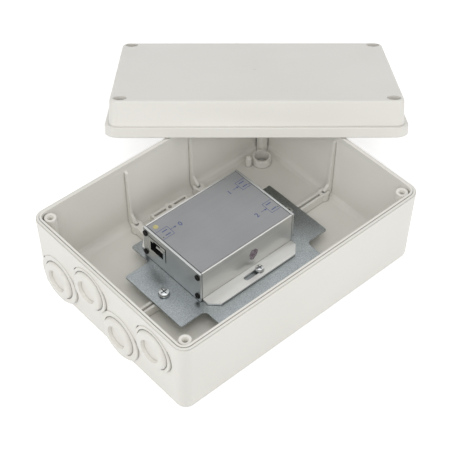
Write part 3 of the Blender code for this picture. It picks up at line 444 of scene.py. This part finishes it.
def flat_piece(name, outlines, low, look, thickness=SPECK, turn=None):
    """Thin piece of flat outlines, raised from low; turn lays it on another side.

    Outlines that share corners, such as the quads of a ring, grow together.
    """
    spots = []
    loops = []
    for outline in outlines:
        outline = [tuple(spot) for spot in outline]
        doubled_area = sum(outline[step - 1][0] * outline[step][1]
                           - outline[step][0] * outline[step - 1][1]
                           for step in range(len(outline)))
        if doubled_area < 0.0:
            outline.reverse()
        spots += [spot for spot in outline if spot not in spots]
        loops.append([spots.index(spot) for spot in outline])
    edges = [(loop[step - 1], loop[step]) for loop in loops for step in range(len(loop))]
    rim = [(first, last) for first, last in edges if (last, first) not in edges]
    lift = len(spots)
    corners = [(x, y, level) for level in (low, low + thickness) for x, y in spots]
    faces = [loop[::-1] for loop in loops]
    faces += [[corner + lift for corner in loop] for loop in loops]
    faces += [(first, last, last + lift, first + lift) for first, last in rim]
    mesh = bpy.data.meshes.new(name)
    mesh.from_pydata(corners, [], faces)
    if turn:
        mesh.transform(turn)
    made = bpy.data.objects.new(name, mesh)
    bpy.context.scene.collection.objects.link(made)
    mesh.materials.append(look)
    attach(made, "root")


def bar(start, end, width=LINE_WIDTH):
    """Outline of a straight line with a width, in metres, from millimetres."""
    first = Vector(start) / MM
    last = Vector(end) / MM
    along = (last - first).normalized()
    side = Vector((-along.y, along.x)) * width / (2 * MM)
    return [first - side, last - side, last + side, first + side]


def arrow(tail, tip):
    """Outlines of a line and its pointed head, in metres, from millimetres."""
    last = Vector(tip)
    along = (last - Vector(tail)).normalized()
    side = Vector((-along.y, along.x)) * HEAD_LENGTH * HEAD_SLOPE
    neck = last - along * HEAD_LENGTH
    point = [tuple(value / MM for value in spot) for spot in (neck - side, last, neck + side)]
    return [bar(tail, neck), point]


def blob(centre, half_width, half_height, steps=24, wobble=0.0):
    """Outline of a round spot, in metres, from millimetres; wobble makes its edge uneven."""
    spots = []
    for step in range(steps):
        angle = math.tau * step / steps
        reach = (1.0 + wobble * (math.sin(3 * angle + 1.0) + 0.6 * math.sin(7 * angle))) / MM
        spots.append((centre[0] / MM + half_width * reach * math.cos(angle),
                      centre[1] / MM + half_height * reach * math.sin(angle)))
    return spots


def print_label():
    """Socket frames, arrows, plain numbers and round dots, all generic."""
    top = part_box("top_label")[1].z + SPECK / 4
    blue = ink("label_print", (0.075, 0.10, 0.25))
    yellow = ink("label_dot", (0.56, 0.50, 0.22))
    dark = ink("label_speck", (0.03, 0.03, 0.05))
    lines = []
    for near, far, low, high, side in SOCKET_FRAMES:
        lines += [bar((near, low), (near, high)), bar((far, low), (near, low)),
                  bar((far, high), (near, high))]
        for level in (low + DASH_INSET, high - DASH_INSET):
            lines.append(bar((near + side * DASH_FROM, level), (near + side * DASH_TO, level),
                             DASH_WIDTH))
    for tail, tip in ARROWS:
        lines += arrow(tail, tip)
    flat_piece("label_lines", lines, top, blue)
    dot = blob(DOT_PLACE, DOT_RADIUS, DOT_RADIUS)
    flat_piece("label_dot", [dot], top, yellow)
    specks = [blob(place, SPECK_RADIUS, SPECK_RADIUS, SPECK_STEPS) for place in SPECK_PLACES]
    flat_piece("label_specks", specks, top + SPECK, dark)
    for name, text, place in NUMBERS:
        data = bpy.data.curves.new(name, "FONT")
        data.body = text
        data.size = NUMBER_SIZE / MM
        data.offset = NUMBER_WEIGHT / MM
        data.extrude = SPECK / 2
        made = bpy.data.objects.new(name, data)
        bpy.context.scene.collection.objects.link(made)
        made.location = (place[0] / MM, place[1] / MM, top + SPECK / 2)
        data.materials.append(blue)
        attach(made, "root")


def mark_side():
    """A round smudge of violet stamping ink on the case's long side."""
    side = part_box("end_plate_input")[0].y
    turn = Matrix.Translation((0.0, side, 0.0)) @ Matrix.Rotation(math.radians(90.0), 4, "X")
    smudge = blob(STAMP_PLACE, *STAMP_HALF_SIZES, STAMP_STEPS, STAMP_WOBBLE)
    flat_piece("stamp_mark", [smudge], SPECK / 4, stamp_ink(), SPECK, turn)


def gate_mark(plastic):
    """The small round mark that the mould's gate leaves in the middle of the lid's top."""
    corners = [sum(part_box(name), Vector()) / 2 for name in LID_SCREWS]
    along = (corners[2] - corners[0]).normalized()
    down = (corners[1] - corners[0]).normalized()
    out = along.cross(down).normalized()
    middle = sum(corners, Vector()) / 4
    lid = nodes["enclosure_lid"].data.vertices
    height = max((vertex.co - middle).dot(out) for vertex in lid)
    turn = Matrix((along, out.cross(along), out)).transposed().to_4x4()
    turn = Matrix.Translation(middle + out * height) @ turn
    outer = blob((0.0, 0.0), GATE_RADIUS, GATE_RADIUS)
    inner = blob((0.0, 0.0), GATE_HOLE_RADIUS, GATE_HOLE_RADIUS)
    ring = [[outer[step - 1], outer[step], inner[step], inner[step - 1]]
            for step in range(len(outer))]
    flat_piece("gate_mark", ring, -SPECK / 4, plastic, 4 * SPECK, turn)


def socket_combs(dark):
    """In each socket's mouth, the comb over the contacts and its pale front lip, whose pale
    colour is a painted highlight.
    """
    pale = lip_painted_glint()
    for name in SOCKETS:
        low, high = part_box(name + "_body")
        inward = 1.0 if low.x < 0.0 else -1.0
        mouth = (low.x if inward > 0 else high.x) * MM
        middle = (low.y + high.y) / 2 * MM
        comb = [(mouth + inward * COMB_DEPTH, middle - COMB_HALF_WIDTH),
                (mouth + inward * COMB_DEPTH, middle + COMB_HALF_WIDTH)]
        for tooth in range(TOOTH_COUNT):
            y = middle + FIRST_TOOTH - tooth * TOOTH_PITCH
            comb += [(mouth + inward * reach, y + shift) for reach, shift in TOOTH_CORNERS]
        lip = [(mouth + inward * reach, middle + inward * shift) for reach, shift in LIP_CORNERS]
        # The lip's pale colour is a painted highlight for the glint of the contacts
        for part, outline, look, thickness in (("_comb", comb, dark, COMB_THICKNESS),
                                               ("_lip", lip, pale, LIP_THICKNESS)):
            spots = [(x / MM, y / MM) for x, y in outline]
            flat_piece(name + part, [spots], low.z + COMB_HEIGHT / MM, look,
                       thickness / MM)


# Stage

def background_rays(tree):
    """1 for rays from the camera, in gloss and through glass, which see a white background."""
    path = tree.nodes.new("ShaderNodeLightPath")
    level = path.outputs["Is Camera Ray"]
    for name in ("Is Glossy Ray", "Is Transmission Ray"):
        larger = tree.nodes.new("ShaderNodeMath")
        larger.operation = "MAXIMUM"
        tree.links.new(level, larger.inputs[0])
        tree.links.new(path.outputs[name], larger.inputs[1])
        level = larger.outputs[0]
    return level


def make_floor():
    """Pale floor that keeps the object's shadow and looks white around it."""
    bpy.ops.mesh.primitive_plane_add(size=FLOOR_SIZE, location=(0.0, 0.0, FLOOR_LEVEL))
    floor = bpy.context.object
    floor.name = "floor"
    look = bpy.data.materials.new("floor")
    look.use_nodes = True
    tree = look.node_tree
    shader = tree.nodes["Principled BSDF"]
    shader.inputs["Base Color"].default_value = (FLOOR_GREY, FLOOR_GREY, FLOOR_GREY, 1.0)
    shader.inputs["Roughness"].default_value = 0.9
    shader.inputs["Emission Color"].default_value = (FLOOR_GLOW, FLOOR_GLOW, FLOOR_GLOW, 1.0)
    tree.links.new(background_rays(tree), shader.inputs["Emission Strength"])
    floor.data.materials.append(look)


def make_world():
    """White surroundings, dimmer in the light they give than as a background."""
    world = bpy.data.worlds.new("surroundings")
    bpy.context.scene.world = world
    world.use_nodes = True
    tree = world.node_tree
    back = tree.nodes["Background"]
    level = tree.nodes.new("ShaderNodeMapRange")
    tree.links.new(background_rays(tree), level.inputs["Value"])
    level.inputs["To Min"].default_value = WORLD_ON_OBJECT
    level.inputs["To Max"].default_value = WORLD_AS_BACKGROUND
    tree.links.new(level.outputs["Result"], back.inputs["Strength"])
    back.inputs["Color"].default_value = (1.0, 1.0, 1.0, 1.0)


def make_lamps():
    """Soft lamps that all point at the object."""
    for name, place, size, power in LAMPS:
        data = bpy.data.lights.new(name, "AREA")
        data.size = size
        data.energy = power
        lamp = bpy.data.objects.new(name, data)
        bpy.context.scene.collection.objects.link(lamp)
        lamp.location = place
        lamp.rotation_mode = "QUATERNION"
        aim = Vector(LAMP_TARGET) - Vector(place)
        lamp.rotation_quaternion = aim.to_track_quat("-Z", "Y")
        lamp.visible_camera = False


make_camera()
make_floor()
make_world()
make_lamps()
bpy.context.scene.view_settings.view_transform = "Standard"
light_plastic, black_plastic = dress_nodes()
print_label()
mark_side()
socket_combs(black_plastic)
gate_mark(light_plastic)
